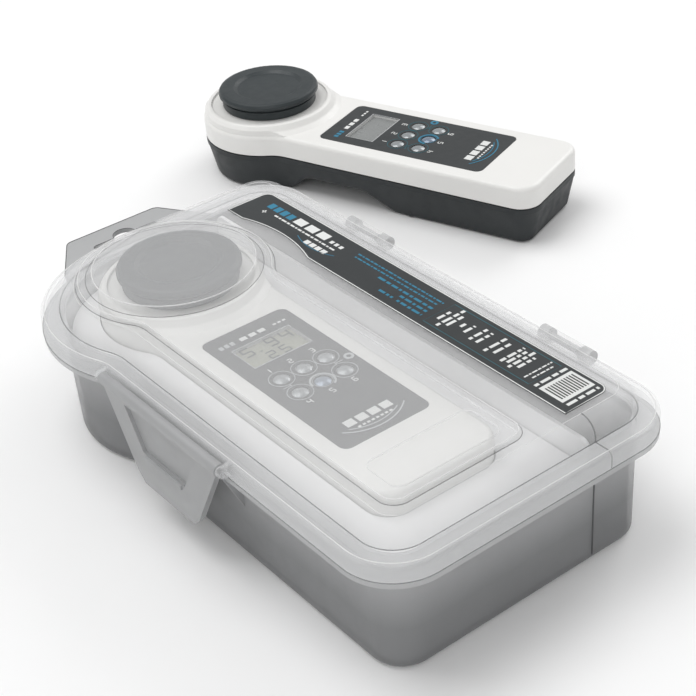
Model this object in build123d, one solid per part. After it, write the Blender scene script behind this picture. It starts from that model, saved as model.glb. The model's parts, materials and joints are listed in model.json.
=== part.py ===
"""Pool water test kit: a hinged plastic case, its reagents and tools, and two
identical hand-held photometers, one packed in the case and one on the bench.

Frame: millimetres, +Z up, the origin at the centre of the tray's base.
+X runs from the case's head end to its foot end, +Y towards its hinges.
Each photometer is drawn in its own frame, whose origin is the middle of the
keypad overlay's head-end edge on the top face, and is then put in place.
"""
from build123d import *
import os

os.makedirs("parts", exist_ok=True)

# ---- case: driving dimensions ----
TRAY_L, TRAY_W = 228.0, 117.0
CORNER_R = 13.0
HEAD_X, HEAD_Y, HEAD_R = -68.2, -18.3, 45.8
WAIST_R = 24.0
WALL = 1.8
DRAFT = 0.8
FLANGE_Z, FLANGE_T = 43.3, 2.0
RIM_OUT = 8.8
LIP_TOP = 50.0
SKIRT_GAP = 0.3
LEDGE_TOP = 52.6
SHOULDER_OUT = 1.0
DECK_TOP = 61.0
SHOULDER_R = 6.8
PLATFORM_H = 1.5
PLATFORM_Y, PLATFORM_HALF = -19.0, 30.0
PLATFORM_END = 104.6
PANEL_X, PANEL_LX, PANEL_LY = 90.0, 18.0, 46.0
RING_X, RING_Y, RING_R = -69.0, -17.5, 34.6
BOSS_H = 4.5

# ---- case: hinge, clasp, hanger ----
HINGE_Y, HINGE_Z = 71.2, 47.0
HINGE_XS = (-58.0, 60.0)
KNUCKLE_R, HINGE_PIN_R = 3.0, 1.5
BARREL_LEN, LUG_LEN = 16.0, 5.0
RUNNING = 0.06
CLASP_X, CLASP_Y, CLASP_Z = -1.2, -70.5, 50.5
CLASP_TOP_HALF, CLASP_LOW_HALF = 38.5, 20.5
CLASP_BOTTOM = 13.8
CLASP_T = 2.6
CLASP_BARREL_R, CLASP_PIN_R = 2.4, 1.2
TAB_BASE_HALF, TAB_TIP_HALF = 37.0, 22.5
TAB_DEPTH = 23.5
TAB_Y = -2.8
SLOT_L, SLOT_H, SLOT_HOLE_R = 32.0, 3.5, 5.3

# ---- case: inside ----
DIVIDER_Y, DIVIDER_T, DIVIDER_TOP = 30.0, 1.5, 51.0
INSERT_T, INSERT_TOP = 1.2, 41.2
INSERT_FIT = 0.5
FIT = 0.5

# ---- photometer: driving dimensions, in its own frame ----
PH_HEAD_X, PH_HEAD_R = -41.7, 34.0
PH_HALF, PH_FOOT_X, PH_FOOT_R, PH_WAIST_R = 27.0, 120.0, 10.0, 16.0
PH_PART_Z, PH_BASE_Z, PH_ARCH_Z = -11.0, -30.5, -21.5
PH_WALL = 2.0
COLLAR_TOP, SHELF_Z, SHELF_R = 4.4, 3.2, 29.6
NECK_TOP, NECK_R, NECK_BORE = 9.0, 19.9, 14.2
CAP_R, CAP_SKIRT_R, CAP_TOP = 25.2, 23.7, 12.2
LABEL_L, LABEL_W, LABEL_R, LABEL_T = 90.0, 39.4, 3.5, 0.5
LCD_X, LCD_Y, LCD_LX, LCD_LY = 19.55, 0.35, 15.5, 26.9
KEY_XS, KEY_PITCH, KEY_Y = (39.5, 51.0), 10.2, 0.5
KEY_R, KEY_DOME = 3.2, 0.9
BOARD_TOP, BOARD_T = -7.0, 1.6
SEAM = 0.6
CELL_R, CELL_L, CELL_PITCH, CELL_Z, CELL_X = 5.25, 44.5, 11.0, -22.8, 66.5
COVER_X, COVER_HALF, COVER_T = 61.0, 20.0, 2.2
SCREW_XY = [(-10.0, 20.5), (-10.0, -20.5), (53.0, 20.5), (53.0, -20.5)]
LOW_TAPER_Z, LOW_TAPER_IN = -14.0, 4.0
ARCH_R = 12.0
LIGHT_Z = -14.0

# ---- accessories ----
SYRINGE_Y, SYRINGE_Z, SYRINGE_R = 47.0, 11.4, 8.6
SYRINGE_X0, SYRINGE_X1 = -86.0, -10.0
ROD_Y, ROD_Z, ROD_R = 35.0, 5.0, 2.4
STRIP_X0, STRIP_X1, STRIP_Y0, STRIP_Y1 = 44.0, 106.0, 34.0, 54.0
STRIP_LAYERS, STRIP_COLUMNS, LAYER_H = 5, 5, 5.4
TABLET_R, TABLET_PITCH = 3.9, 12.5

# ---- where the photometers lie ----
STORED = Location((-31.0, -13.3, 51.1))
BENCH = Location((-180.0, 148.0, -PH_BASE_Z), (0, 0, 20.0))


def save(name, shape):
    """Write one named piece."""
    shape.label = name
    export_step(shape, f"parts/{name}.step")


def slab(face, z0, z1):
    """A flat outline made solid between two heights."""
    return Pos(0, 0, z0) * extrude(face, z1 - z0)


def block(x0, x1, y0, y1, z0, z1):
    """A box from its limits."""
    return Pos((x0 + x1) / 2, (y0 + y1) / 2, (z0 + z1) / 2) * Box(x1 - x0, y1 - y0, z1 - z0)


def rod_x(radius, x0, x1, y, z):
    """A round bar along X."""
    return Pos((x0 + x1) / 2, y, z) * Rot(0, 90, 0) * Cylinder(radius, x1 - x0)


def turned(points, x=0.0, y=0.0):
    """A solid of revolution about a vertical line, from (radius, height) points."""
    outline = make_face(Polyline(*[(r, 0, z) for r, z in points], close=True))
    return Pos(x, y, 0) * revolve(outline, Axis.Z)


# ---------------------------------------------------------------- the case
def case_outline(out):
    """The case seen from above: a rounded oblong whose front head corner
    swells into a round nose, grown by out."""
    half_l, half_w = TRAY_L / 2 + out, TRAY_W / 2 + out
    oblong = RectangleRounded(2 * half_l, 2 * half_w, CORNER_R + out)
    corner = Pos(HEAD_X - half_l, HEAD_Y - half_w) * Rectangle(2 * half_l, 2 * half_w)
    nose = Pos(HEAD_X, HEAD_Y) * Circle(HEAD_R + out)
    outline = oblong - corner + nose
    waist = [v for v in outline.vertices() if v.X > HEAD_X + 1 and abs(v.Y + half_w) < 0.01 and v.X < 0]
    return fillet(waist, WAIST_R - out)


def case_tray():
    """Tray with floor, drafted walls, rim flange, locating lip, hinge lugs
    and clasp gussets."""
    top = FLANGE_Z + FLANGE_T
    outer = loft([Pos(0, 0, 0) * case_outline(0), Pos(0, 0, top) * case_outline(DRAFT)])
    low_edges = outer.edges().filter_by(lambda e: e.center().Z < 0.01)
    outer = fillet(low_edges, 2.5)
    outer += slab(case_outline(DRAFT - 0.2), top - 0.5, LIP_TOP)
    outer += slab(case_outline(RIM_OUT), FLANGE_Z, top)
    for x in HINGE_XS:
        outer += tray_lugs(x, top)
    for x in (CLASP_X - 32.0, CLASP_X + 32.0):
        outer += gusset(x)
    inner = loft([Pos(0, 0, WALL) * case_outline(-WALL),
                  Pos(0, 0, LIP_TOP + 1) * case_outline(DRAFT - WALL)])
    return outer - inner


def hanging_tab():
    """A tapering tab on the head-end flange with a euro hanging slot."""
    x_base, x_tip = -(TRAY_L / 2 + RIM_OUT), -(TRAY_L / 2 + RIM_OUT + TAB_DEPTH)
    outline = [(x_base + 8, -TAB_BASE_HALF), (x_base, -TAB_BASE_HALF), (x_tip, -TAB_TIP_HALF),
               (x_tip, TAB_TIP_HALF), (x_base, TAB_BASE_HALF), (x_base + 8, TAB_BASE_HALF)]
    tab = Pos(0, TAB_Y) * make_face(Polyline(*outline, close=True))
    tab = fillet(tab.vertices().sort_by(Axis.X)[:2], 4.0)
    slot_x = x_base - 11.0
    slot = Pos(slot_x, TAB_Y) * Rot(0, 0, 90) * SlotOverall(SLOT_L, SLOT_H)
    hole = Pos(slot_x - 1.2, TAB_Y) * Circle(SLOT_HOLE_R)
    return slab(tab - slot - hole - case_outline(RIM_OUT), FLANGE_Z, FLANGE_Z + FLANGE_T)


def tray_lugs(x, top):
    """Two hinge lugs with the pin that they hold."""
    reach = BARREL_LEN / 2 + LUG_LEN
    lugs = rod_x(HINGE_PIN_R, x - reach, x + reach, HINGE_Y, HINGE_Z)
    for side in (-1, 1):
        a = x + side * (BARREL_LEN / 2 + 0.3)
        b = x + side * reach
        lo, hi = min(a, b), max(a, b)
        lugs += rod_x(KNUCKLE_R, lo, hi, HINGE_Y, HINGE_Z)
        lugs += block(lo, hi, TRAY_W / 2 + RIM_OUT - 1.0, HINGE_Y + 0.5, HINGE_Z - KNUCKLE_R, top)
    return lugs


def gusset(x):
    """A triangular web under the front flange."""
    wall_y, rim_y = -TRAY_W / 2, -(TRAY_W / 2 + RIM_OUT - 0.8)
    web = make_face(Polyline((0, wall_y, 24.0), (0, wall_y, FLANGE_Z + 1), (0, rim_y, FLANGE_Z + 1),
                             (0, rim_y, FLANGE_Z - 2), close=True))
    return Pos(x - 0.9, 0, 0) * extrude(web, 1.8, dir=(1, 0, 0))


def platform_outline(inset):
    """The lid's raised area: the photometer's shape, a ring and a long tongue."""
    length = PLATFORM_END - inset - RING_X
    tongue = Pos(RING_X + length / 2, PLATFORM_Y) * Rectangle(length, 2 * (PLATFORM_HALF - inset))
    tongue = fillet(tongue.vertices().sort_by(Axis.X)[-2:], 7.0 - inset)
    shape = tongue + Pos(RING_X, RING_Y) * Circle(RING_R + 5.0 - inset)
    waist = [v for v in shape.vertices() if RING_X + 5 < v.X < 0]
    return fillet(waist, 12.0 + inset)


def case_lid():
    """Lid with skirt, ledge, rounded shoulder, deck, raised platform and the
    boss over the cap, with its hinge barrels and the clasp's ears."""
    skirt_z = FLANGE_Z + FLANGE_T + SKIRT_GAP
    rim = slab(case_outline(RIM_OUT), skirt_z, LEDGE_TOP)
    rim = fillet(rim.faces().sort_by(Axis.Z)[-1].edges(), 1.6)
    crown = slab(case_outline(SHOULDER_OUT), LEDGE_TOP - 1, DECK_TOP)
    crown = fillet(crown.faces().sort_by(Axis.Z)[-1].edges(), SHOULDER_R)
    platform = slab(platform_outline(0), DECK_TOP - 1, DECK_TOP + PLATFORM_H)
    platform = fillet(platform.faces().sort_by(Axis.Z)[-1].edges(), 1.2)
    boss_top = DECK_TOP + BOSS_H
    boss = turned([(0, DECK_TOP - 1), (RING_R + 0.8, DECK_TOP - 1), (RING_R + 0.8, DECK_TOP + PLATFORM_H),
                   (RING_R - 1.6, boss_top), (0, boss_top)], RING_X, RING_Y)
    boss = fillet(boss.faces().sort_by(Axis.Z)[-1].edges(), 1.0)
    outer = rim + crown + platform + boss
    hollow = slab(case_outline(RIM_OUT - WALL), skirt_z - 1, LEDGE_TOP - WALL)
    hollow += slab(case_outline(SHOULDER_OUT - WALL), LEDGE_TOP - WALL - 1, DECK_TOP - 7.0)
    crown_in = slab(case_outline(SHOULDER_OUT - WALL), DECK_TOP - 8.0, DECK_TOP - WALL)
    hollow += fillet(crown_in.faces().sort_by(Axis.Z)[-1].edges(), SHOULDER_R - WALL)
    hollow += slab(platform_outline(WALL), DECK_TOP - WALL - 1, DECK_TOP + PLATFORM_H - WALL)
    hollow += Pos(RING_X, RING_Y, 0) * slab(Circle(RING_R - 1.8), DECK_TOP - WALL - 1, boss_top - WALL)
    lid = outer - hollow + finger_panel(DECK_TOP + PLATFORM_H)
    for x in HINGE_XS:
        lid += lid_barrel(x)
    return lid + clasp_ears()


def finger_panel(top):
    """The low rounded panel near the platform's foot end."""
    panel = Pos(PANEL_X, PLATFORM_Y) * RectangleRounded(PANEL_LX, PANEL_LY, 4.0)
    return slab(panel, top - 0.5, top + 0.5)


def lid_barrel(x):
    """A hinge barrel on the skirt, bored to run on the tray's pin."""
    lo, hi = x - BARREL_LEN / 2, x + BARREL_LEN / 2
    barrel = rod_x(KNUCKLE_R, lo, hi, HINGE_Y, HINGE_Z)
    barrel += block(lo, hi, TRAY_W / 2 + RIM_OUT - 1.0, HINGE_Y, HINGE_Z + 0.4, HINGE_Z + KNUCKLE_R)
    return barrel - rod_x(HINGE_PIN_R + RUNNING, lo - 1, hi + 1, HINGE_Y, HINGE_Z)


def clasp_ears():
    """Two ears on the skirt, each with the short pin that the clasp turns on."""
    ears = []
    for side in (-1, 1):
        a = CLASP_X + side * (CLASP_TOP_HALF + 0.4)
        b = a + side * 2.2
        lo, hi = min(a, b), max(a, b)
        ear = block(lo, hi, CLASP_Y, -(TRAY_W / 2 + RIM_OUT) + 1.0, CLASP_Z - 2.1, CLASP_Z + 2.1)
        ear += rod_x(2.1, lo, hi, CLASP_Y, CLASP_Z)
        pin_lo, pin_hi = min(a - side * 3.4, b), max(a - side * 3.4, b)
        ear += rod_x(CLASP_PIN_R, pin_lo, pin_hi, CLASP_Y, CLASP_Z)
        ears.append(ear)
    return ears[0] + ears[1]


def clasp_panel(top_half, low_half, z_top, z_low, y0, y1, cut):
    """An upright tapering plate with its two low corners cut off."""
    face = make_face(Polyline((-top_half, y0, z_top), (top_half, y0, z_top), (low_half, y0, z_low + cut),
                              (low_half - cut, y0, z_low), (-low_half + cut, y0, z_low),
                              (-low_half, y0, z_low + cut), close=True))
    return Pos(CLASP_X, 0, 0) * extrude(face, y1 - y0, dir=(0, 1, 0))


def case_clasp():
    """A tapering flap that hangs from the lid and hooks under the flange."""
    y_out = CLASP_Y - 0.9
    y_in = y_out + CLASP_T
    flap = clasp_panel(CLASP_TOP_HALF, CLASP_LOW_HALF, CLASP_Z, CLASP_BOTTOM, y_out, y_in, 4.0)
    flap -= clasp_panel(23.0, 14.0, CLASP_Z - 4.0, 29.5, y_out - 1, y_out + 1.5, 0.5)
    lo, hi = CLASP_X - CLASP_TOP_HALF, CLASP_X + CLASP_TOP_HALF
    flap += rod_x(CLASP_BARREL_R, lo, hi, CLASP_Y, CLASP_Z)
    flap += rod_x(0.9, CLASP_X - 12.0, CLASP_X + 12.0, y_out, 28.2)
    flap += block(CLASP_X - 17, CLASP_X + 17, y_in - 0.5, y_in + 3.2, 40.6, FLANGE_Z - 0.4)
    for side in (-1, 1):
        end = CLASP_X + side * CLASP_TOP_HALF
        flap -= rod_x(CLASP_PIN_R + RUNNING, end - 3.6, end + 3.6, CLASP_Y, CLASP_Z)
    return flap


def bay_outline():
    """The photometer's side of the tray, in front of the divider."""
    front = Pos(0, DIVIDER_Y - FIT - 100) * Rectangle(400, 200)
    return case_outline(-WALL - FIT) & front


def cradle_insert():
    """A thin formed insert with a pocket in the photometer's shape."""
    bay = bay_outline()
    shell = slab(bay, WALL, INSERT_TOP)
    under = slab(offset(bay, -INSERT_T), WALL - 1, INSERT_TOP - INSERT_T)
    rest_z = STORED.position.Z + PH_BASE_Z
    place = Pos(STORED.position.X, STORED.position.Y, 0)
    tub = place * slab(photometer_outline(-INSERT_FIT - INSERT_T), rest_z - INSERT_T, INSERT_TOP)
    pocket = place * slab(photometer_outline(-INSERT_FIT), rest_z, INSERT_TOP + 1)
    return shell - under + (tub & shell) - pocket


def case_divider():
    """The upright wall between the photometer's bay and the accessory bay."""
    half = TRAY_L / 2 - WALL - 0.1
    plate = block(-half, half, DIVIDER_Y, DIVIDER_Y + DIVIDER_T, WALL, DIVIDER_TOP)
    corners = plate.edges().filter_by(Axis.Y).group_by(Axis.Z)[-1]
    return fillet(corners, 4.0)


def lid_strip():
    """The printed strip along the lid, cut away in a wave beside the ring."""
    x0, x1, y0, y1 = -96.0, 105.0, 26.4, 47.8
    strip = Pos((x0 + x1) / 2, (y0 + y1) / 2) * Rectangle(x1 - x0, y1 - y0)
    strip = fillet(strip.vertices().group_by(Axis.Y)[-1], 4.0)
    wave = Pos(-63.0, y0 - 62.0) * Circle(66.0)
    strip = strip - wave
    return slab(strip, DECK_TOP, DECK_TOP + 0.2)


# ---------------------------------------------------------- accessories
def syringe_barrel():
    """A dosing syringe's barrel, lying along the accessory bay."""
    y, z = SYRINGE_Y, SYRINGE_Z
    barrel = rod_x(SYRINGE_R, SYRINGE_X0, SYRINGE_X1, y, z)
    barrel += rod_x(2.4, SYRINGE_X0 - 11, SYRINGE_X0 + 1, y, z)
    barrel += block(SYRINGE_X1, SYRINGE_X1 + 2, y - 9.2, y + 9.2, z - 9.5, z + 9.5)
    barrel -= rod_x(SYRINGE_R - 1.1, SYRINGE_X0 + 1.5, SYRINGE_X1 + 3, y, z)
    return barrel - rod_x(1.2, SYRINGE_X0 - 12, SYRINGE_X0 + 2, y, z)


def syringe_plunger():
    """The plunger: piston, cross-shaped rod and thumb disc."""
    y, z = SYRINGE_Y, SYRINGE_Z
    piston_x, thumb_x = -44.0, 22.0
    half_web, half_t = 5.6, 0.9
    plunger = rod_x(SYRINGE_R - 1.2, piston_x, piston_x + 7, y, z)
    plunger += rod_x(SYRINGE_R, thumb_x, thumb_x + 2, y, z)
    for dy, dz in ((half_t, half_web), (half_web, half_t)):
        plunger += block(piston_x + 6.5, thumb_x + 0.5, y - dy, y + dy, z - dz, z + dz)
    return plunger


def stirring_rod():
    """A stirring rod with a flat paddle for crushing tablets."""
    rod = rod_x(ROD_R, -88, 28, ROD_Y, ROD_Z)
    return rod + block(27, 42, ROD_Y - 3.0, ROD_Y + 3.0, ROD_Z - 1.0, ROD_Z + 1.0)


def reagent_strips():
    """Foil strips of tablets, stacked flat."""
    strips = []
    for layer in range(STRIP_LAYERS):
        z = WALL + layer * LAYER_H
        strip = block(STRIP_X0, STRIP_X1, STRIP_Y0, STRIP_Y1, z, z + 0.6)
        for column in range(STRIP_COLUMNS):
            for y in (STRIP_Y0 + 5.0, STRIP_Y1 - 5.0):
                strip += Pos(STRIP_X0 + 6.0 + column * TABLET_PITCH, y, z + 2.6) * Cylinder(TABLET_R, 4.2)
        strips.append(strip)
    return Compound(strips)


# ----------------------------------------------------------- photometer
def photometer_outline(inset):
    """The photometer from above: a round head and a long parallel body."""
    half = PH_HALF - inset
    length = PH_FOOT_X - inset - PH_HEAD_X
    body = Pos(PH_HEAD_X + length / 2, 0) * Rectangle(length, 2 * half)
    body = fillet(body.vertices().sort_by(Axis.X)[-2:], PH_FOOT_R - inset)
    outline = body + Pos(PH_HEAD_X, 0) * Circle(PH_HEAD_R - inset)
    waist = [v for v in outline.vertices() if abs(abs(v.Y) - half) < 0.01 and v.X < 0]
    return fillet(waist, PH_WAIST_R + inset)


def key_places():
    """Centres of the six keys, two rows across the body."""
    return [(x, KEY_Y + (i - 1) * KEY_PITCH) for x in KEY_XS for i in range(3)]


def top_shell():
    """White upper shell: face, raised round collar, sunk shelf and neck."""
    roof = slab(photometer_outline(0), PH_PART_Z + SEAM / 2, 0)
    roof = fillet(roof.faces().sort_by(Axis.Z)[-1].edges(), 2.4)
    collar = turned([(0, -3), (36.5, -3), (36.5, 0), (33.6, 1.6), (31.4, COLLAR_TOP), (0, COLLAR_TOP)],
                    PH_HEAD_X)
    collar = fillet(collar.edges().filter_by(lambda e: e.center().Z > 1.0), 1.3)
    shell = roof + (collar & slab(photometer_outline(0.9), -4, COLLAR_TOP + 1))
    shell -= Pos(PH_HEAD_X, 0, 0) * slab(Circle(SHELF_R), SHELF_Z, COLLAR_TOP + 1)
    hollow = slab(photometer_outline(PH_WALL), PH_PART_Z - 1, -PH_WALL)
    shell -= hollow
    neck = Pos(PH_HEAD_X, 0, 0) * slab(Circle(NECK_R), -PH_WALL - 0.5, NECK_TOP)
    neck -= Pos(PH_HEAD_X, 0, 6.2) * Torus(NECK_R - 0.5, 0.9)
    shell += neck
    shell -= Pos(PH_HEAD_X, 0, 0) * slab(Circle(NECK_BORE), -5, NECK_TOP + 1)
    label = Pos(LABEL_L / 2, 0) * RectangleRounded(LABEL_L + 0.2, LABEL_W + 0.2, LABEL_R)
    shell -= slab(label, -LABEL_T, 1)
    shell -= block(LCD_X - LCD_LX / 2, LCD_X + LCD_LX / 2, LCD_Y - LCD_LY / 2, LCD_Y + LCD_LY / 2, -5, 1)
    for x, y in key_places():
        shell -= Pos(x, y, 0) * slab(Circle(KEY_R + 0.35), -5, 1)
    for x, y in SCREW_XY:
        boss = Pos(x, y, 0) * slab(Circle(2.8), -9.5, -PH_WALL + 0.5)
        shell += boss - Pos(x, y, 0) * slab(Circle(1.2), -10, -3.5)
    return shell


def lower_body(inset, base_z, arch_z, top_z):
    """The lower half's mass: drafted outline under an arched underside."""
    mass = loft([Pos(0, 0, PH_BASE_Z - 1) * photometer_outline(inset + LOW_TAPER_IN),
                 Pos(0, 0, LOW_TAPER_Z) * photometer_outline(inset + 0.3)])
    mass += slab(photometer_outline(inset), LOW_TAPER_Z, top_z)
    side = make_face(Polyline((-90, 0, top_z + 1), (-90, 0, base_z), (-16 - inset, 0, base_z),
                              (-6 - inset, 0, arch_z), (28 + inset, 0, arch_z), (44 + inset, 0, base_z),
                              (140, 0, base_z), (140, 0, top_z + 1), close=True))
    side = fillet(side.vertices().filter_by(lambda v: -20 - inset < v.X < 50 + inset), ARCH_R)
    profile = Pos(0, -50, 0) * extrude(side, 100, dir=(0, 1, 0))
    return mass & profile


def rounded_lower_body(top_z):
    """The outside of the lower half, with its underside's long edges rounded."""
    body = lower_body(0, PH_BASE_Z, PH_ARCH_Z, top_z)
    low = body.edges().filter_by(lambda e: e.center().Z < PH_BASE_Z + 0.05 and e.bounding_box().size.X > 2.0)
    return fillet(low.filter_by(lambda e: abs(e.center().X - 14.0) > 31.0), 2.2)


def bottom_shell():
    """Dark lower shell with deep ends, an arched waist and the battery bay."""
    top = PH_PART_Z - SEAM / 2
    hollow = lower_body(PH_WALL, PH_BASE_Z + PH_WALL, PH_ARCH_Z + PH_WALL, top + 1)
    bay = block(COVER_X + 1, PH_FOOT_X - 1, -18.6, 18.6, PH_BASE_Z, -15.6)
    shell = rounded_lower_body(top) - (hollow - bay)
    shell -= block(COVER_X + 2.6, PH_FOOT_X - 4.6, -17.2, 17.2, PH_BASE_Z - 1, -17.0)
    shell -= battery_cover_blank(0.2)
    for x, y in SCREW_XY:
        z_low = screw_seat(x)
        post = Pos(x, y, 0) * slab(Circle(3.4), z_low + 1, -9.9)
        shell += post & slab(photometer_outline(1.0), PH_BASE_Z, top)
        shell -= Pos(x, y, 0) * slab(Circle(2.7), z_low - 1, z_low + 3.0)
        shell -= Pos(x, y, 0) * slab(Circle(1.5), z_low - 1, 0)
    return shell


def screw_seat(x):
    """The height of the underside at a screw."""
    return PH_ARCH_Z if x < 30 else PH_BASE_Z


def battery_cover_blank(grow):
    """The cover's outline in the underside, open at the foot end."""
    half = COVER_HALF + grow
    return block(COVER_X - grow, 140, -half, half, PH_BASE_Z - 1, PH_BASE_Z + COVER_T + grow)


def battery_cover():
    """A flat cover that slides off over the foot end, with finger ridges."""
    cover = rounded_lower_body(PH_PART_Z) & battery_cover_blank(-0.05)
    for i in range(4):
        x = COVER_X + 6 + i * 2.4
        cover -= block(x, x + 1.0, -9, 9, PH_BASE_Z - 1, PH_BASE_Z + 0.5)
    return cover


def parting_seal():
    """The thin seal between the shells."""
    ring = photometer_outline(0.5) - photometer_outline(1.9)
    return slab(ring, PH_PART_Z - SEAM / 2, PH_PART_Z + SEAM / 2)


def light_cap():
    """Mushroom cap that keeps light off the cuvette: disc, groove, skirt."""
    z0 = SHELF_Z + 0.2
    dished = CAP_TOP - 1.1
    skirt = [(20.6, z0), (CAP_SKIRT_R - 0.3, z0), (CAP_SKIRT_R, z0 + 0.4), (CAP_SKIRT_R, 7.4)]
    groove = [(22.9, 7.7), (22.9, 8.2)]
    disc = [(CAP_R - 0.9, 8.5), (CAP_R, 9.3), (CAP_R, CAP_TOP - 1.6), (CAP_R - 0.7, CAP_TOP - 0.5)]
    top = [(CAP_R - 2.2, CAP_TOP), (17.6, CAP_TOP), (15.6, dished), (0, dished), (0, 9.5), (20.6, 9.5)]
    return turned(skirt + groove + disc + top, PH_HEAD_X)


def neck_seal():
    """O-ring in the neck's groove."""
    return Pos(PH_HEAD_X, 0, 6.2) * Torus(NECK_R - 0.5, 0.9)


def cuvette():
    """Clear round measuring cell with a rim."""
    return turned([(0, -23), (11.8, -23), (11.8, 5.0), (13.9, 5.0), (13.9, 6.4), (10.6, 6.4), (10.6, -21.6),
                   (0, -21.6)], PH_HEAD_X)


def cuvette_holder():
    """Dark sleeve round the cell, with a light path across it."""
    sleeve = turned([(12.0, -24.6), (16.0, -24.6), (16.0, -2.8), (12.0, -2.8)], PH_HEAD_X)
    sleeve += turned([(0, -24.6), (16.0, -24.6), (16.0, -23.2), (0, -23.2)], PH_HEAD_X)
    return sleeve - rod_x(1.7, PH_HEAD_X - 18, PH_HEAD_X + 18, 0, LIGHT_Z)


def led_emitters():
    """Three light sources side by side, outside the sleeve."""
    lamps = []
    for i in (-1, 0, 1):
        angle = i * 24.0
        lamp = rod_x(1.6, PH_HEAD_X + 16.3, PH_HEAD_X + 20.0, 0, LIGHT_Z)
        lamp += Pos(PH_HEAD_X + 20.4, 0, LIGHT_Z) * Box(1.2, 4.4, 4.4)
        lamps.append(lamp.rotate(Axis((PH_HEAD_X, 0, 0), (0, 0, 1)), angle))
    return Compound(lamps)


def photo_sensor():
    """The light sensor opposite the light sources."""
    sensor = rod_x(2.4, PH_HEAD_X - 19.0, PH_HEAD_X - 16.3, 0, LIGHT_Z)
    return sensor + Pos(PH_HEAD_X - 19.6, 0, LIGHT_Z) * Box(1.4, 9.0, 9.0)


def keypad_overlay():
    """Printed overlay let into the top face."""
    face = Pos(LABEL_L / 2, 0) * RectangleRounded(LABEL_L, LABEL_W, LABEL_R)
    face -= Pos(LCD_X, LCD_Y) * Rectangle(LCD_LX, LCD_LY)
    for x, y in key_places():
        face -= Pos(x, y) * Circle(KEY_R + 0.3)
    return slab(face, -LABEL_T, -0.05)


def lcd_window():
    """Clear window flush with the overlay."""
    return block(LCD_X - LCD_LX / 2 + 0.05, LCD_X + LCD_LX / 2 - 0.05, LCD_Y - LCD_LY / 2 + 0.05,
                 LCD_Y + LCD_LY / 2 - 0.05, -1.4, -0.1)


def lcd_module():
    """The display under the window, on its carrier."""
    glass = block(LCD_X - LCD_LX / 2 + 0.3, LCD_X + LCD_LX / 2 - 0.3, LCD_Y - LCD_LY / 2 + 0.3,
                  LCD_Y + LCD_LY / 2 - 0.3, -2.4, -1.5)
    return glass + block(LCD_X - 9.4, LCD_X + 9.4, LCD_Y - 15.4, LCD_Y + 15.4, BOARD_TOP, -2.2)


def circuit_board():
    """Board with the key switches, the chip and the wireless module."""
    board = block(-2, 100, -16.6, 16.6, BOARD_TOP - BOARD_T, BOARD_TOP)
    for x, y in key_places():
        board += Pos(x, y, BOARD_TOP + 0.3) * Cylinder(2.6, 0.6)
    board += block(64, 74, -5, 5, BOARD_TOP - 0.1, BOARD_TOP + 1.4)
    return board + block(80, 94, -8, 8, BOARD_TOP - 0.1, BOARD_TOP + 2.0)


def key(x, y):
    """A domed key with a retaining flange and a nib over its switch."""
    body = slab(Circle(KEY_R), -2.6, -0.2)
    ball_r = (KEY_R ** 2 + KEY_DOME ** 2) / (2 * KEY_DOME)
    dome = Pos(0, 0, KEY_DOME - 0.2 - ball_r) * Sphere(ball_r) & slab(Circle(KEY_R), -0.3, KEY_DOME)
    flange = slab(Circle(4.2), -3.4, -PH_WALL - 0.4)
    nib = slab(Circle(1.2), -5.7, -3.2)
    return Pos(x, y, 0) * (body + dome + flange + nib)


def batteries():
    """Three AAA cells side by side, each with its raised contact."""
    cells = []
    for i in (-1, 0, 1):
        y = i * CELL_PITCH
        cell = rod_x(CELL_R, CELL_X, CELL_X + CELL_L - 1.0, y, CELL_Z)
        cell += rod_x(1.9, CELL_X + CELL_L - 1.5, CELL_X + CELL_L, y, CELL_Z)
        cells.append(cell)
    return Compound(cells)


def battery_contacts():
    """A spring cone and a flat contact for each cell."""
    pieces = []
    x_flat = CELL_X + CELL_L + 0.2
    for i in (-1, 0, 1):
        y = i * CELL_PITCH
        pieces.append(Pos(65.1, y, CELL_Z) * Rot(0, 90, 0) * Cone(4.0, 2.2, 2.4))
        pieces.append(block(x_flat, x_flat + 0.6, y - 4, y + 4, CELL_Z - 4, CELL_Z + 4))
    return Compound(pieces)


def shell_screws():
    """Four screws from the lower shell into the upper shell's bosses."""
    screws = []
    for x, y in SCREW_XY:
        z_low = screw_seat(x)
        head = slab(Circle(2.5), z_low + 1.4, z_low + 3.0) - slab(Rectangle(3.4, 0.8), z_low, z_low + 2.2)
        screw = head + slab(Circle(1.1), z_low + 2.5, -4.0)
        screws.append(Pos(x, y, 0) * screw)
    return Compound(screws)


# ------------------------------------------------------------- build it all
CASE_PIECES = {
    "case_tray": case_tray,
    "hanging_tab": hanging_tab,
    "case_lid": case_lid,
    "case_clasp": case_clasp,
    "case_divider": case_divider,
    "cradle_insert": cradle_insert,
    "lid_label_strip": lid_strip,
    "syringe_barrel": syringe_barrel,
    "syringe_plunger": syringe_plunger,
    "stirring_rod": stirring_rod,
    "reagent_strips": reagent_strips,
}
PHOTOMETER_PIECES = {
    "top_shell": top_shell,
    "bottom_shell": bottom_shell,
    "parting_seal": parting_seal,
    "light_cap": light_cap,
    "neck_seal": neck_seal,
    "cuvette": cuvette,
    "cuvette_holder": cuvette_holder,
    "led_emitters": led_emitters,
    "photo_sensor": photo_sensor,
    "keypad_overlay": keypad_overlay,
    "lcd_window": lcd_window,
    "lcd_module": lcd_module,
    "circuit_board": circuit_board,
    "battery_cover": battery_cover,
    "batteries": batteries,
    "battery_contacts": battery_contacts,
    "shell_screws": shell_screws,
}

for name, make in CASE_PIECES.items():
    save(name, make())

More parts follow.
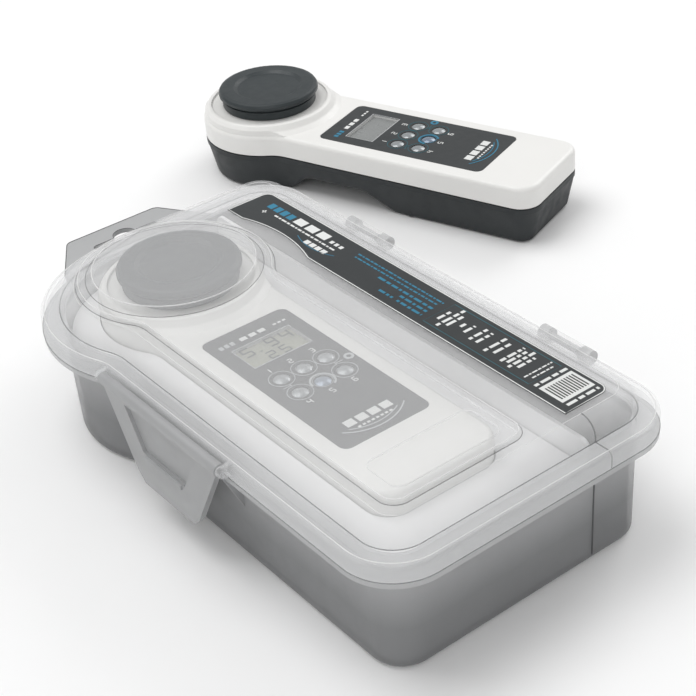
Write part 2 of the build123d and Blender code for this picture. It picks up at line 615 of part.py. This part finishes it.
pieces = {name: make() for name, make in PHOTOMETER_PIECES.items()}
for number, (x, y) in enumerate(key_places(), start=1):
    pieces[f"key_{number}"] = key(x, y)
for prefix, place in (("stored", STORED), ("bench", BENCH)):
    for name, piece in pieces.items():
        save(f"{prefix}_{name}", place * piece)
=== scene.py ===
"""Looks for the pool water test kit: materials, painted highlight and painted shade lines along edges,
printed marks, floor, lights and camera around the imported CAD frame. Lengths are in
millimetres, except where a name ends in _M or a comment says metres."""
import bmesh
import bpy
import json
import math
from mathutils import Matrix, Vector


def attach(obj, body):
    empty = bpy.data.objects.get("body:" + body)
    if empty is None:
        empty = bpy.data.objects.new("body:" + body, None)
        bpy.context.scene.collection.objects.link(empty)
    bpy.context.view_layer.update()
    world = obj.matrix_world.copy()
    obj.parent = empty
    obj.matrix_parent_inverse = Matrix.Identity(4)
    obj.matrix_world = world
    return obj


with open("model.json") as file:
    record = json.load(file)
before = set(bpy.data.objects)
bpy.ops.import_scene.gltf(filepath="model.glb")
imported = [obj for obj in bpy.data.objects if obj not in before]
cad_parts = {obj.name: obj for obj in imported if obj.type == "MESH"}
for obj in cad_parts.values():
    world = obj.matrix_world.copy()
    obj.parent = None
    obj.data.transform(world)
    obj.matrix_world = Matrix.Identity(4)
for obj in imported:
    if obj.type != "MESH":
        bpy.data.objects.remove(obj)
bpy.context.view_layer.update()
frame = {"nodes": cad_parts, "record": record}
MM = 0.001

# ---- where the photometers lie, as packed ----
STORED_AT = (-31.0, -13.3, 51.1)
BENCH_AT, BENCH_TURN = (-180.0, 148.0, 30.5), 20.0
ROW_PLACE = Matrix.Scale(MM, 4)
STORED_PLACE = Matrix.Translation(Vector(STORED_AT) * MM) @ ROW_PLACE
BENCH_PLACE = (Matrix.Translation(Vector(BENCH_AT) * MM)
               @ Matrix.Rotation(math.radians(BENCH_TURN), 4, "Z") @ ROW_PLACE)

# ---- the keypad overlay, in a photometer's own frame ----
KEY_XS, KEY_Y, KEY_PITCH = (39.5, 51.0), 0.5, 10.2
KEY_PLACES = [(x, KEY_Y + (i - 1) * KEY_PITCH) for x in KEY_XS for i in range(3)]
POWER_KEY = 4
PRINT_Z0, RING_Z1, PRINT_Z1 = -0.05, 0.02, 0.03
LCD_X, LCD_Y = 19.55, 0.35
LCD_HALF_X, LCD_HALF_Y = 7.6, 13.3
LCD_PRINT_Z0, DIGIT_Z1, BEZEL_Z1 = -0.1, -0.04, 0.05

# ---- the case and its lid ----
SKIRT_Z, LEDGE_TOP, DECK_TOP, PLATFORM_TOP, BOSS_TOP = 45.6, 52.6, 61.0, 62.5, 65.5
TAB_TOP = 45.3
TRAY_LINE = ((114.05, 2.5), (114.75, 43.2))
RIM_END, RIM_R, RIM_LINE_FOOT = 122.8, 1.6, 46.0
SHOULDER_R, DIVIDER_Y = 6.8, 30.7
DECK_END = 115.0 - SHOULDER_R

# ---- the lid's printed strip ----
STRIP_TOP, STRIP_MID, STRIP_R = 61.2, 38.0, 4.0
INK_T = 0.03
STRIP_X0, STRIP_X1, STRIP_Y0, STRIP_Y1 = -96.0, 105.0, 26.4, 47.8
WAVE_X, WAVE_Y, WAVE_R = -63.0, -35.6, 66.0
WORDS = (2.6, 1.4, 3.4, 1.9, 2.9, 1.2)

# ---- camera ----
CAMERA_AZ, CAMERA_EL, CAMERA_ROLL = 54.628, 33.514, -4.878
CAMERA_DISTANCE = 714.085
CAMERA_TARGET = Vector((-53.379, 51.709, 0.0))
CAMERA_LENS = 86.06
CLIP_START_M = 0.01

# ---- the floor and the lights ----
FLOOR_HALF_M, FLOOR_Z_M = 6.0, -0.0002
LIGHT_AIM_M = Vector((-0.05, 0.05, 0.03))

# ---- what the materials and the outlines share ----
DRIFT_SCALE, SCUFF_SCALE = 22.0, 160.0
BUMP_STRENGTH, COAT_ROUGH = 0.35, 0.12
SAME_HEIGHT_M, FEWEST_POINTS = 1e-5, 9


# ------------------------------------------------------------- materials
def noise(tree, coord, scale, detail=4.0):
    """A noise texture in object coordinates, scale in cycles per metre."""
    node = tree.nodes.new("ShaderNodeTexNoise")
    node.inputs["Scale"].default_value = scale
    node.inputs["Detail"].default_value = detail
    tree.links.new(coord.outputs["Object"], node.inputs["Vector"])
    return node


def spread(tree, source, low, high, start=0.3, end=0.7):
    """Maps a noise's middle range to low..high."""
    node = tree.nodes.new("ShaderNodeMapRange")
    node.inputs["From Min"].default_value = start
    node.inputs["From Max"].default_value = end
    node.inputs["To Min"].default_value = low
    node.inputs["To Max"].default_value = high
    tree.links.new(source, node.inputs["Value"])
    return node


def shade(colour, factor):
    """The colour made darker or lighter, with its alpha."""
    return tuple(min(1.0, c * factor) for c in colour[:3]) + (1.0,)


def material(name, colour, rough, tint=0.05, grain=1800.0, bump=0.02, scuff=0.08, alpha=1.0, edge=0.0,
             metallic=0.0, coat=0.0, specular=0.5, top=None):
    """A moulded or printed surface on one Principled shader: slow colour drift
    by tint, roughness scuffed either way, and fine grain in the bump. edge
    rounds the corners' shading. top is (colour, start, end) and fades to a
    second colour with height, a painted shade: darker low down, lighter up high."""
    made = bpy.data.materials.new(name)
    made.use_nodes = True
    tree = made.node_tree
    shader = tree.nodes["Principled BSDF"]
    coord = tree.nodes.new("ShaderNodeTexCoord")
    broad = noise(tree, coord, DRIFT_SCALE)
    mix = tree.nodes.new("ShaderNodeMix")
    mix.data_type = "RGBA"
    mix.inputs["A"].default_value = shade(colour, 1.0 - tint)
    mix.inputs["B"].default_value = shade(colour, 1.0 + tint)
    tree.links.new(spread(tree, broad.outputs["Fac"], 0.0, 1.0).outputs["Result"], mix.inputs["Factor"])
    tint_out = mix.outputs["Result"]
    if top:
        top_colour, start, end = top
        split = tree.nodes.new("ShaderNodeSeparateXYZ")
        tree.links.new(coord.outputs["Object"], split.inputs["Vector"])
        rise = spread(tree, split.outputs["Z"], 0.0, 1.0, start * MM, end * MM)
        fade = tree.nodes.new("ShaderNodeMix")
        fade.data_type = "RGBA"
        fade.inputs["B"].default_value = shade(top_colour, 1.0)
        tree.links.new(rise.outputs["Result"], fade.inputs["Factor"])
        tree.links.new(tint_out, fade.inputs["A"])
        tint_out = fade.outputs["Result"]
    tree.links.new(tint_out, shader.inputs["Base Color"])
    worn = noise(tree, coord, SCUFF_SCALE, 8.0)
    rub = spread(tree, worn.outputs["Fac"], rough - scuff, rough + scuff, 0.35, 0.68)
    tree.links.new(rub.outputs["Result"], shader.inputs["Roughness"])
    fine = noise(tree, coord, grain, 2.0)
    relief = tree.nodes.new("ShaderNodeBump")
    relief.inputs["Strength"].default_value = BUMP_STRENGTH
    relief.inputs["Distance"].default_value = bump * MM
    tree.links.new(fine.outputs["Fac"], relief.inputs["Height"])
    if edge:
        soft = tree.nodes.new("ShaderNodeBevel")
        soft.samples = 4
        soft.inputs["Radius"].default_value = edge * MM
        tree.links.new(soft.outputs["Normal"], relief.inputs["Normal"])
    tree.links.new(relief.outputs["Normal"], shader.inputs["Normal"])
    shader.inputs["Alpha"].default_value = alpha
    shader.inputs["Metallic"].default_value = metallic
    shader.inputs["Coat Weight"].default_value = coat
    shader.inputs["Coat Roughness"].default_value = COAT_ROUGH
    shader.inputs["Specular IOR Level"].default_value = specular
    return made


LOOKS = {
    "frosted_lid": material("frosted_lid", (0.92, 0.925, 0.93), 0.40, 0.02, 900.0, 0.002, 0.02, 0.21,
                            coat=0.15),
    # frosted_tray: painted shade, darker near the floor and fading lighter up to the rim
    "frosted_tray": material("frosted_tray", (0.25, 0.255, 0.26), 0.42, 0.05, 900.0, 0.03, 0.06, 0.60,
                             coat=0.12, top=((0.62, 0.625, 0.63), 18.0, 52.0)),
    "frosted_clasp": material("frosted_clasp", (0.42, 0.425, 0.43), 0.38, 0.04, 900.0, 0.03, 0.06, 0.70,
                              coat=0.2),
    "frosted_insert": material("frosted_insert", (0.86, 0.86, 0.865), 0.4, 0.03, 700.0, 0.03, 0.06),
    "printed_strip": material("printed_strip", (0.022, 0.026, 0.028), 0.42, 0.12, 2600.0, 0.01),
    "white_shell": material("white_shell", (0.79, 0.785, 0.765), 0.36, 0.015, 1400.0, 0.012, 0.05, edge=0.5),
    "charcoal_shell": material("charcoal_shell", (0.026, 0.030, 0.032), 0.48, 0.08, 1600.0, 0.03, edge=0.4,
                               specular=0.35),
    "cap_plastic": material("cap_plastic", (0.030, 0.038, 0.041), 0.42, 0.08, 1600.0, 0.03, edge=0.5,
                            specular=0.4),
    "seal_rubber": material("seal_rubber", (0.02, 0.02, 0.02), 0.7, 0.1, 1200.0, 0.04),
    "clear_cell": material("clear_cell", (0.8, 0.86, 0.88), 0.08, 0.02, 800.0, 0.004, 0.03, 0.25),
    "black_plastic": material("black_plastic", (0.02, 0.02, 0.021), 0.6, 0.1, 1500.0, 0.03),
    "led_lens": material("led_lens", (0.75, 0.82, 0.88), 0.1, 0.03, 900.0, 0.004, 0.03, 0.6),
    "printed_overlay": material("printed_overlay", (0.024, 0.028, 0.030), 0.40, 0.1, 2600.0, 0.01),
    "display_window": material("display_window", (0.7, 0.72, 0.72), 0.06, 0.01, 500.0, 0.002, 0.02, 0.12),
    "display_module": material("display_module", (0.15, 0.157, 0.155), 0.3, 0.03, 900.0, 0.004, 0.04),
    "circuit_board": material("circuit_board", (0.02, 0.16, 0.06), 0.4, 0.15, 1500.0, 0.02),
    "silver_key": material("silver_key", (0.30, 0.32, 0.33), 0.26, 0.05, 900.0, 0.01, 0.06, coat=0.5,
                           metallic=0.35),
    "power_key": material("power_key", (0.20, 0.25, 0.32), 0.22, 0.05, 900.0, 0.01, 0.06, coat=0.5,
                          metallic=0.35),
    "cell_wrap": material("cell_wrap", (0.1, 0.12, 0.15), 0.3, 0.1, 700.0, 0.01, metallic=0.4),
    "contact_metal": material("contact_metal", (0.62, 0.61, 0.58), 0.32, 0.06, 900.0, 0.02, metallic=1.0),
    "clear_plastic": material("clear_plastic", (0.8, 0.85, 0.87), 0.14, 0.02, 700.0, 0.01, 0.05, 0.4),
    "plunger_plastic": material("plunger_plastic", (0.8, 0.8, 0.79), 0.42, 0.03, 900.0, 0.03),
    "tablet_foil": material("tablet_foil", (0.66, 0.67, 0.68), 0.3, 0.08, 1200.0, 0.08, metallic=0.9),
}
LCD_ON = material("display_lit", (0.36, 0.37, 0.235), 0.3, 0.03, 900.0, 0.004, 0.04)
# painted light on edges: a pale painted highlight along convex edges, a grey painted shade in creases, at the
# skirt's gap and where the divider shows through the lid, and a darker painted shade round the tab and where
# the divider shows through the tray
PAINTED_HIGHLIGHT = material("painted_highlight", (0.90, 0.90, 0.90), 0.3, 0.02, 900.0, 0.005, 0.04, 0.5, coat=0.3)
EDGE_SHADE = material("edge_shade", (0.20, 0.205, 0.21), 0.5, 0.05, 900.0, 0.005, 0.04, 0.45)
EDGE_DEEP_SHADE = material("edge_deep_shade", (0.09, 0.092, 0.095), 0.5, 0.05, 900.0, 0.005, 0.04, 0.8)
TAB_PLASTIC = material("tab_plastic", (0.43, 0.435, 0.44), 0.42, 0.03, 900.0, 0.02, 0.05, 0.85, coat=0.12)
INK_WHITE = material("ink_white", (0.72, 0.73, 0.72), 0.5, 0.06, 3000.0, 0.01)
INK_PALE = material("ink_pale", (0.42, 0.44, 0.45), 0.5, 0.06, 3000.0, 0.01)
INK_TEAL = material("ink_teal", (0.02, 0.12, 0.15), 0.45, 0.1, 3000.0, 0.01)
INK_BRIGHT = material("ink_bright_blue", (0.02, 0.19, 0.31), 0.4, 0.08, 3000.0, 0.01)
INK_DARK = material("ink_dark", (0.02, 0.025, 0.02), 0.45, 0.1, 3000.0, 0.01)
BEZEL = material("bezel_silver", (0.62, 0.63, 0.64), 0.25, 0.04, 900.0, 0.01, metallic=0.5)

slots = {s["node"]: s["material_slot"] for s in frame["record"]["subparts"]}
for node, obj in frame["nodes"].items():
    obj.data.materials.clear()
    obj.data.materials.append(LOOKS[slots[node]])
frame["nodes"]["stored_lcd_module"].data.materials[0] = LCD_ON
frame["nodes"]["hanging_tab"].data.materials[0] = TAB_PLASTIC


# -------------------------------------------------- painted edge highlights and painted shade lines
def borders_at(node, height):
    """The outlines on a CAD node at one height in metres, from its faces' borders."""
    mesh = frame["nodes"][node].data
    uses = {}
    for polygon in mesh.polygons:
        for edge in polygon.edge_keys:
            uses[edge] = uses.get(edge, 0) + 1
    beside = {}
    for (a, b), count in uses.items():
        ends = [mesh.vertices[v].co for v in (a, b)]
        if count == 1 and all(abs(e.z - height) < SAME_HEIGHT_M for e in ends):
            p, q = ((round(e.x, 6), round(e.y, 6)) for e in ends)
            beside.setdefault(p, set()).add(q)
            beside.setdefault(q, set()).add(p)
    loops = []
    while beside:
        here = next(iter(beside))
        loop = []
        while here in beside:
            loop.append(here)
            nearby = beside.pop(here)
            here = next((n for n in nearby if n in beside), None)
        if len(loop) >= FEWEST_POINTS:
            loops.append(loop)
    return loops


def span_x(loop):
    """How far an outline reaches along X."""
    return max(x for x, y in loop) - min(x for x, y in loop)


def line(name, loops, radius, look, body, closed=True):
    """A thin line of painted highlight or painted shade along one or more runs of (x, y, z) points in metres.
    """
    curve = bpy.data.curves.new(name, "CURVE")
    curve.dimensions = "3D"
    curve.bevel_depth = radius * MM
    curve.bevel_resolution = 1
    for loop in loops:
        spline = curve.splines.new("POLY")
        spline.points.add(len(loop) - 1)
        for point, place in zip(spline.points, loop):
            point.co = (*place, 1.0)
        spline.use_cyclic_u = closed
    curve.materials.append(look)
    piece = bpy.data.objects.new(name, curve)
    bpy.context.scene.collection.objects.link(piece)
    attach(piece, body)


def painted_edge_line(name, node, height, picks, radius, look, body="lid"):
    """A painted highlight or painted shade line along a CAD node's outlines at one
    height, picked by their order from the longest down."""
    loops = sorted(borders_at(node, height * MM), key=span_x, reverse=True)
    chosen = [[(x, y, height * MM) for x, y in loops[i]] for i in picks if i < len(loops)]
    line(name, chosen, radius, look, body)


# painted highlights along the lid's convex edges, and painted shade in its creases and at the gap under its
# skirt
painted_edge_line("lid_skirt_painted_shade", "case_lid", SKIRT_Z, (0,), 0.16, EDGE_SHADE)
painted_edge_line("lid_rim_painted_highlight", "case_lid", LEDGE_TOP, (0,), 0.2, PAINTED_HIGHLIGHT)
painted_edge_line("lid_crown_painted_shade", "case_lid", LEDGE_TOP, (1,), 0.22, EDGE_SHADE)
painted_edge_line("lid_deck_painted_highlight", "case_lid", DECK_TOP, (0,), 0.12, PAINTED_HIGHLIGHT)
painted_edge_line("lid_platform_painted_shade", "case_lid", DECK_TOP, (1,), 0.18, EDGE_SHADE)
painted_edge_line("lid_platform_painted_highlight", "case_lid", PLATFORM_TOP, (0, 2), 0.22, PAINTED_HIGHLIGHT)
painted_edge_line("lid_panel_painted_shade", "case_lid", PLATFORM_TOP, (1,), 0.16, EDGE_SHADE)
painted_edge_line("lid_boss_painted_highlight", "case_lid", BOSS_TOP, (0,), 0.24, PAINTED_HIGHLIGHT)
# painted shade round the tab and its slot, standing in for their shaded side walls
painted_edge_line("tab_painted_shade", "hanging_tab", TAB_TOP, (0,), 0.2, EDGE_DEEP_SHADE, "case")
painted_edge_line("tab_slot_painted_shade", "hanging_tab", TAB_TOP, (1,), 0.12, EDGE_DEEP_SHADE, "case")


def shade_at_divider(name, points, radius, look, body):
    """A painted shade line at the divider's place, through (x, z) points."""
    run = [(x * MM, DIVIDER_Y * MM, z * MM) for x, z in points]
    line(name, [run], radius, look, body, False)


def shoulder(turn):
    """A point on the lid's rounded shoulder at the foot end, turn in degrees."""
    angle = math.radians(turn)
    return DECK_END + SHOULDER_R * math.sin(angle), DECK_TOP - SHOULDER_R * (1.0 - math.cos(angle))


# painted shade where the divider shows through the foot wall and through the lid above it
rim_corner = (RIM_END - RIM_R, LEDGE_TOP)
crown = [shoulder(90.0 * step / 8) for step in range(9)] + [(DECK_END + SHOULDER_R, LEDGE_TOP), rim_corner]
rim = [rim_corner, (RIM_END, LEDGE_TOP - RIM_R), (RIM_END, RIM_LINE_FOOT)]
shade_at_divider("tray_divider_painted_shade", TRAY_LINE, 0.34, EDGE_DEEP_SHADE, "case")
shade_at_divider("lid_divider_painted_shade", crown, 0.26, EDGE_SHADE, "lid")
shade_at_divider("lid_rim_divider_painted_shade", rim, 0.14, EDGE_SHADE, "lid")


# ---------------------------------------------------------- printed marks
def stroke(bm, points, width, z0, z1, closed=False):
    """A flat ribbon of one width along the points, as a closed solid."""
    count = len(points)
    rows = []
    for i, p in enumerate(points):
        before = points[(i - 1) % count] if closed or i else p
        after = points[(i + 1) % count] if closed or i < count - 1 else p
        along = (Vector(after) - Vector(before)).normalized()
        side = Vector((-along.y, along.x)) * (width / 2)
        corners = [(1, z0), (-1, z0), (-1, z1), (1, z1)]
        rows.append([bm.verts.new((p[0] + s * side.x, p[1] + s * side.y, z)) for s, z in corners])
    for i in range(count if closed else count - 1):
        a, b = rows[i], rows[(i + 1) % count]
        for k in range(4):
            bm.faces.new((a[k], a[(k + 1) % 4], b[(k + 1) % 4], b[k]))
    if not closed:
        bm.faces.new(rows[0][::-1])
        bm.faces.new(rows[-1])


def arc(x, y, radius, start, end, steps=40):
    """Points along an arc, from start to end in degrees."""
    angles = [math.radians(start + (end - start) * i / steps) for i in range(steps + 1)]
    return [(x + radius * math.cos(a), y + radius * math.sin(a)) for a in angles]


def circle(x, y, radius, steps=48):
    """Points around a circle."""
    return arc(x, y, radius, 0.0, 360.0, steps)[:-1]


def marks(name, strokes, z0, z1, ink, place, body):
    """One piece of print: a list of (points, width, closed) ribbons."""
    bm = bmesh.new()
    for points, width, closed in strokes:
        stroke(bm, points, width, z0, z1, closed)
    bmesh.ops.recalc_face_normals(bm, faces=bm.faces)
    bm.transform(place)
    mesh = bpy.data.meshes.new(name)
    bm.to_mesh(mesh)
    bm.free()
    mesh.materials.append(ink)
    piece = bpy.data.objects.new(name, mesh)
    bpy.context.scene.collection.objects.link(piece)
    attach(piece, body)


# each segment's ends, across and up the numeral
SEGMENTS = {"a": ((0, 1), (1, 1)), "b": ((1, 1), (1, .5)), "c": ((1, .5), (1, 0)), "d": ((0, 0), (1, 0)),
            "e": ((0, 0), (0, .5)), "f": ((0, .5), (0, 1)), "g": ((0, .5), (1, .5))}
DIGITS = {"1": "bc", "2": "abged", "3": "abgcd", "4": "fgbc", "5": "afgcd", "6": "afgedc", "9": "abcdfg"}


def digit(char, x, y, tall, wide, width):
    """Seven-segment numeral whose top points to -X and which reads along +Y."""
    made = []
    for segment in DIGITS[char]:
        ends = [(x + (0.5 - v) * tall, y + (u - 0.5) * wide) for u, v in SEGMENTS[segment]]
        made.append((ends, width, False))
    return made


def blocks(x, y, length, pitch, count, width, along_x=False):
    """A row of plain blocks, standing in for a word."""
    if along_x:
        return [([(x + i * pitch, y), (x + i * pitch + length, y)], width, False) for i in range(count)]
    return [([(x, y + i * pitch), (x, y + i * pitch + length)], width, False) for i in range(count)]


def overlay_print(prefix, place, body, ring_ink, blue_ink):
    """Rings, links, numerals and plain bars printed on the keypad overlay."""
    rings = [(circle(x, y, 4.9), 0.26, True) for n, (x, y) in enumerate(KEY_PLACES) if n != POWER_KEY]
    for side in (-1, 1):
        y = KEY_Y + side * KEY_PITCH
        rings.append(([(44.3, y), (46.2, y)], 0.32, False))
        rings.append(([(45.25, y), (45.25, y + side * 3.4)], 0.32, False))
    marks(prefix + "_key_rings", rings, PRINT_Z0, RING_Z1, ring_ink, place, body)
    # round the power key, a round glyph, two swooshes and a heading
    x, y = KEY_PLACES[POWER_KEY]
    blue = [(arc(x, y, 4.7, 30, 275), 0.85, False), (circle(x, y, 3.85), 0.2, True)]
    blue += [(circle(44.8, 17.4, 1.5, 24), 1.1, True)]
    blue += [(arc(66.0, 0.0, 20.5, -43, 43), 0.55, False), (arc(63.5, 0.0, 20.8, -32, 30), 0.4, False)]
    blue += blocks(7.6, -15.5, 1.7, 2.5, 3, 2.4)
    marks(prefix + "_blue_print", blue, PRINT_Z0, PRINT_Z1, blue_ink, place, body)
    # headings at both ends, and a numeral beside each key
    pale = blocks(7.6, -6.0, 3.0, 4.2, 3, 2.2) + blocks(7.6, 9.4, 1.4, 2.2, 3, 1.0)
    pale += blocks(78.2, -10.5, 4.2, 5.4, 4, 3.8) + blocks(82.2, -7.6, 1.2, 2.0, 8, 0.9)
    for n, (key_x, key_y) in enumerate(KEY_PLACES):
        beside = -7.2 if key_x == KEY_XS[0] else 7.2
        pale += digit(str(n + 1), key_x + beside, key_y - 1.0, 2.5, 1.5, 0.4)
    marks(prefix + "_pale_print", pale, PRINT_Z0, PRINT_Z1, INK_WHITE, place, body)
    x0, x1, y0, y1 = LCD_X - LCD_HALF_X, LCD_X + LCD_HALF_X, LCD_Y - LCD_HALF_Y, LCD_Y + LCD_HALF_Y
    bezel = [([(x0, y0), (x0, y1), (x1, y1), (x1, y0)], 0.45, True)]
    marks(prefix + "_display_edge", bezel, LCD_PRINT_Z0, BEZEL_Z1, BEZEL, place, body)


def display_digits():
    """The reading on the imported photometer's lit display."""
    top, low = LCD_X - 3.0, LCD_X + 4.4
    reading = digit("5", top, LCD_Y - 9.3, 5.6, 3.6, 0.75)
    reading += [([(LCD_X - 0.6, LCD_Y - 4.6), (LCD_X + 0.2, LCD_Y - 4.6)], 0.8, False)]
    reading += digit("9", top, LCD_Y + 1.8, 5.6, 3.6, 0.75) + digit("4", top, LCD_Y + 8.6, 5.6, 3.6, 0.75)
    reading += digit("2", low, LCD_Y - 3.0, 4.6, 3.2, 0.65) + digit("5", low, LCD_Y + 3.0, 4.6, 3.2, 0.65)
    marks("stored_display_digits", reading, LCD_PRINT_Z0, DIGIT_Z1, INK_DARK, STORED_PLACE, "case")


overlay_print("stored", STORED_PLACE, "case", INK_PALE, INK_PALE)
display_digits()
overlay_print("bench", BENCH_PLACE, "bench_photometer", INK_TEAL, INK_BRIGHT)


def words(x, y, length, width, along_x=True, first=0):
    """A line of short dashes of uneven length, standing in for a line of words."""
    made, at, turn = [], 0.0, first
    while at < length:
        reach = min(WORDS[turn % len(WORDS)] * width, length - at)
        ends = [(x + at, y), (x + at + reach, y)] if along_x else [(x, y + at), (x, y + at + reach)]
        if reach > 0.4:
            made.append((ends, width, False))
        at += reach + 0.75 * width
        turn += 1
    return made


def strip_outline(inset):
    """The lid strip's edge: square front corners, round back corners, wave."""
    r = STRIP_R
    x0, x1, y0, y1 = STRIP_X0 + inset, STRIP_X1 - inset, STRIP_Y0 + inset, STRIP_Y1 - inset
    wave_r = WAVE_R + inset
    half = math.degrees(math.acos((y0 - WAVE_Y) / wave_r))
    wave = arc(WAVE_X, WAVE_Y, wave_r, 90 + half, 90 - half, 30)
    back = arc(x1 - r + inset, y1 - r + inset, r - inset, 0, 90, 10)
    head = arc(x0 + r - inset, y1 - r + inset, r - inset, 90, 180, 10)
    return [(x0, y0)] + wave + [(x1, y0)] + back + head


def strip_marks(name, strokes, ink, z0=STRIP_TOP):
    """One ink's print on the lid's strip."""
    marks(name, strokes, z0, z0 + INK_T, ink, ROW_PLACE, "lid")


# the outline, then at the head end a heading, a line below it, a row of blocks and a small cross
white = [(strip_outline(0.35), 0.45, True)]
white += blocks(-67.8, 41.6, 6.0, 7.7, 3, 4.2, True) + blocks(-43.8, 40.8, 1.9, 3.0, 3, 1.9, True)
white += words(-77.5, 37.5, 41.0, 0.9) + blocks(-51.6, 33.8, 2.9, 3.6, 4, 2.5, True)
white += [([(-84.6, 36.4), (-82.4, 36.4)], 0.6, False), ([(-83.5, 35.3), (-83.5, 37.5)], 0.6, False)]
# the foot end: lines across the strip by their (x, length), then the ruled panel
LINES_ACROSS = ((29.8, 7.5), (32.9, 14.0), (35.5, 8.7), (39.8, 2.6), (43.4, 5.6), (48.2, 9.0), (51.5, 8.2),
                (57.5, 11.5), (61.0, 8.3), (66.4, 11.7), (68.7, 9.5), (71.1, 13.0), (73.6, 8.4), (86.0, 15.4),
                (101.8, 15.2))
for turn, (x, length) in enumerate(LINES_ACROSS):
    white += words(x, STRIP_MID - length / 2, length, 1.35, False, turn)
for x, length in ((79.6, 13.4), (81.9, 10.0)):
    white += words(x, STRIP_MID - length / 2, length, 0.7, False)
white.append(([(88.0, STRIP_MID), (99.8, STRIP_MID)], 15.6, False))
strip_marks("strip_white_print", white, INK_WHITE)
# blue lines along the strip by their (x, y, length, width)
LINES_ALONG = ((-28.0, 42.7, 51.5, 0.8), (-27.3, 40.4, 50.0, 0.8), (-8.7, 37.3, 32.0, 1.2),
               (7.7, 34.5, 16.0, 1.2), (-1.3, 31.6, 8.0, 1.2), (9.3, 31.6, 14.4, 1.2))
blue = blocks(-86.2, 41.4, 3.3, 4.4, 4, 3.7, True) + [(arc(-46.0, 60.0, 28.0, 246, 296, 20), 0.3, False)]
for turn, (x, y, length, width) in enumerate(LINES_ALONG):
    blue += words(x, y, length, width, True, turn)
strip_marks("strip_blue_print", blue, INK_BRIGHT)
frame_line = [(27.0, 29.6), (83.7, 29.6), (83.7, 45.3), (27.0, 45.3)]
strip_marks("strip_frame_print", [(frame_line, 0.3, True)], INK_TEAL)
ruled = [([(89.6, 31.8 + i * 1.25), (98.2, 31.8 + i * 1.25)], 0.6, False) for i in range(11)]
strip_marks("strip_ruled_print", ruled, INK_DARK, STRIP_TOP + INK_T)


# ------------------------------------------------------------- the studio
def look_at(target, azimuth, elevation, distance, roll):
    """The camera's matrix: azimuth 0 looks along +Y, angles in degrees."""
    a, e, r = (math.radians(v) for v in (azimuth, elevation, roll))
    back = Vector((math.sin(a) * math.cos(e), -math.cos(a) * math.cos(e), math.sin(e)))
    across = Vector((0.0, 0.0, 1.0)).cross(back).normalized()
    up = back.cross(across)
    turned_x = math.cos(r) * across + math.sin(r) * up
    turned_y = -math.sin(r) * across + math.cos(r) * up
    matrix = Matrix((turned_x, turned_y, back)).transposed().to_4x4()
    matrix.translation = (target + back * distance) * MM
    return matrix


camera = bpy.data.objects.new("camera", bpy.data.cameras.new("camera"))
camera.data.sensor_width = 36.0
camera.data.lens = CAMERA_LENS
camera.data.clip_start = CLIP_START_M
camera.matrix_world = look_at(CAMERA_TARGET, CAMERA_AZ, CAMERA_EL, CAMERA_DISTANCE, CAMERA_ROLL)
bpy.context.scene.collection.objects.link(camera)
bpy.context.scene.camera = camera

floor_mesh = bpy.data.meshes.new("floor")
floor_mesh.from_pydata([(sx * FLOOR_HALF_M, sy * FLOOR_HALF_M, FLOOR_Z_M) for sx, sy in
                        ((-1, -1), (1, -1), (1, 1), (-1, 1))], [], [(0, 1, 2, 3)])
floor_mesh.materials.append(material("floor", (0.90, 0.90, 0.90), 0.7, 0.004, 300.0, 0.01))
floor = bpy.data.objects.new("floor", floor_mesh)
bpy.context.scene.collection.objects.link(floor)


def soft_light(name, place, size, power):
    data = bpy.data.lights.new(name, "AREA")
    data.shape = "SQUARE"
    data.size = size
    data.energy = power
    lamp = bpy.data.objects.new(name, data)
    lamp.location = place
    aim = LIGHT_AIM_M - Vector(place)
    lamp.rotation_euler = aim.to_track_quat("-Z", "Y").to_euler()
    bpy.context.scene.collection.objects.link(lamp)


soft_light("key", (-0.6, -0.3, 1.6), 1.2, 15.0)
soft_light("fill", (1.4, -1.2, 1.0), 1.4, 8.0)
soft_light("back", (-0.4, 1.6, 1.1), 1.0, 9.0)

world = bpy.data.worlds.new("studio")
world.use_nodes = True
world.node_tree.nodes["Background"].inputs["Color"].default_value = (1.0, 1.0, 1.0, 1.0)
world.node_tree.nodes["Background"].inputs["Strength"].default_value = 0.54
bpy.context.scene.world = world
bpy.context.scene.view_settings.view_transform = "Standard"
